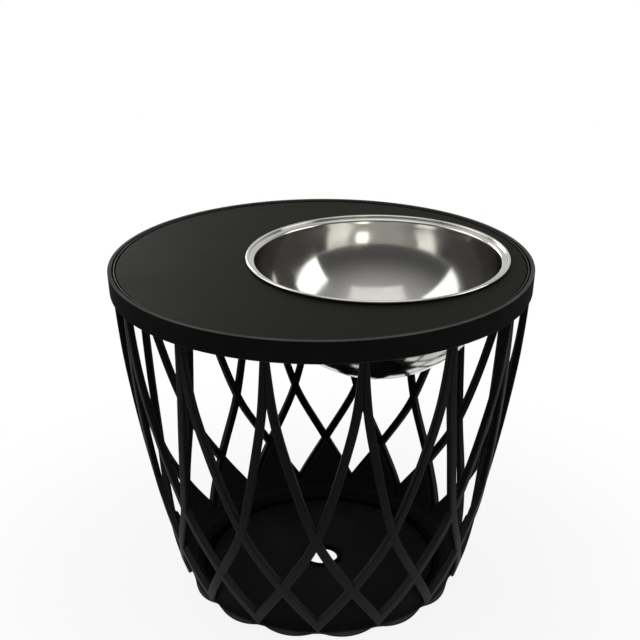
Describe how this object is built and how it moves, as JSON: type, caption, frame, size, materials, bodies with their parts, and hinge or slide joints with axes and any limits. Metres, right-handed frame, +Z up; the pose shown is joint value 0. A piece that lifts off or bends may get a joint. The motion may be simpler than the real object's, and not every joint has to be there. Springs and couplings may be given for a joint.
{
  "type": "ice bucket coffee table",
  "caption": "Round lattice-basket coffee table whose lift-off top carries a polished steel ice bowl set off-centre.",
  "frame": {"origin": "centre of the footprint, on the floor under the basket's axis", "axes": "+Z up, -Y towards the front, +X to the right, the side the bowl is set off to"},
  "size_m": [0.482, 0.482, 0.402],
  "materials": {
    "band": "satin black",
    "trim": "satin black",
    "panel": "matte dark grey, finely grained",
    "basket": "satin black",
    "cup": "satin black",
    "plate": "satin black",
    "steel": "mirror polished"
  },
  "bodies": {
    "basket": {"rib_right_01": "basket", "rib_right_02": "basket", "rib_right_03": "basket", "rib_right_04": "basket", "rib_right_05": "basket", "rib_right_06": "basket", "rib_right_07": "basket", "rib_right_08": "basket", "rib_right_09": "basket", "rib_right_10": "basket", "rib_right_11": "basket", "rib_right_12": "basket", "rib_right_13": "basket", "rib_right_14": "basket", "rib_right_15": "basket", "rib_left_01": "basket", "rib_left_02": "basket", "rib_left_03": "basket", "rib_left_04": "basket", "rib_left_05": "basket", "rib_left_06": "basket", "rib_left_07": "basket", "rib_left_08": "basket", "rib_left_09": "basket", "rib_left_10": "basket", "rib_left_11": "basket", "rib_left_12": "basket", "rib_left_13": "basket", "rib_left_14": "basket", "rib_left_15": "basket", "basket_top_ring": "basket", "base_cup": "cup", "floor_plate": "plate"},
    "top": {"lid_band": "band", "panel_trim_ring": "trim", "lid_panel": "panel"},
    "bowl": {"ice_bowl": "steel"}
  },
  "joints": [
    {"name": "top_lift", "type": "slide", "parent": "basket", "child": "top", "axis": [0, 0, 1], "range_m": [0, 0.15]},
    {"name": "bowl_lift", "type": "slide", "parent": "top", "child": "bowl", "axis": [0, 0, 1], "range_m": [0, 0.145]}
  ]
}
